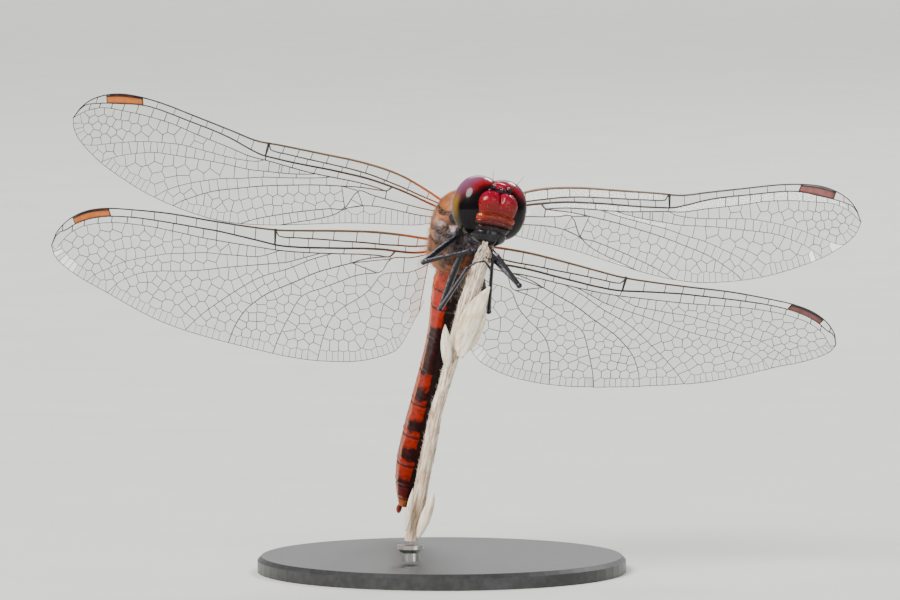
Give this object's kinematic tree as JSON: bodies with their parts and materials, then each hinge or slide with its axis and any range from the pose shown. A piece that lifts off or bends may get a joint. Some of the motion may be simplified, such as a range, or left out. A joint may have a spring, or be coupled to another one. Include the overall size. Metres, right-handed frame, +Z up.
{
  "type": "dragonfly model",
  "caption": "Still, life-size red darter dragonfly gripping the dry tip of a grass stem, wings spread, tail down, on a small round display stand.",
  "frame": {"origin": "centre of the underside of the stand's round base, on the ground", "axes": "+Z up; the animal faces -Y, its right wings reach towards -X and its left wings towards +X"},
  "size_m": [0.0607, 0.028, 0.0365],
  "materials": {
    "eye": "glossy compound eye",
    "face": "satin crimson shell",
    "face_dark": "satin black shell",
    "thorax": "shell under short hair",
    "abdomen": "satin red shell",
    "leg": "satin black shell",
    "wing": "clear veined membrane",
    "straw": "dry straw",
    "stand": "matt black paint",
    "metal": "fine brushed"
  },
  "bodies": {
    "root": {"abdomen_s1": "abdomen", "abdomen_s10": "abdomen", "abdomen_s2": "abdomen", "abdomen_s3": "abdomen", "abdomen_s4": "abdomen", "abdomen_s5": "abdomen", "abdomen_s6": "abdomen", "abdomen_s7": "abdomen", "abdomen_s8": "abdomen", "abdomen_s9": "abdomen", "antenna_left": "leg", "antenna_right": "leg", "cercus_left": "abdomen", "cercus_right": "abdomen", "clypeus": "face", "eye_left": "eye", "eye_right": "eye", "foreleg_left_femur": "leg", "foreleg_left_tibia": "leg", "foreleg_right_femur": "leg", "foreleg_right_tibia": "leg", "forewing_left": "wing", "forewing_right": "wing", "frons": "face", "head": "face_dark", "hindleg_left_femur": "leg", "hindleg_left_tibia": "leg", "hindleg_right_femur": "leg", "hindleg_right_tibia": "leg", "hindwing_left": "wing", "hindwing_right": "wing", "labium": "face_dark", "labrum": "face", "midleg_left_femur": "leg", "midleg_left_tibia": "leg", "midleg_right_femur": "leg", "midleg_right_tibia": "leg", "perch_glume_left": "straw", "perch_glume_right": "straw", "perch_husk_side": "straw", "perch_husk_upper": "straw", "perch_stem": "straw", "prothorax": "thorax", "stand_base": "stand", "stand_rod": "metal", "thorax": "thorax", "vertex": "face"}
  },
  "joints": []
}
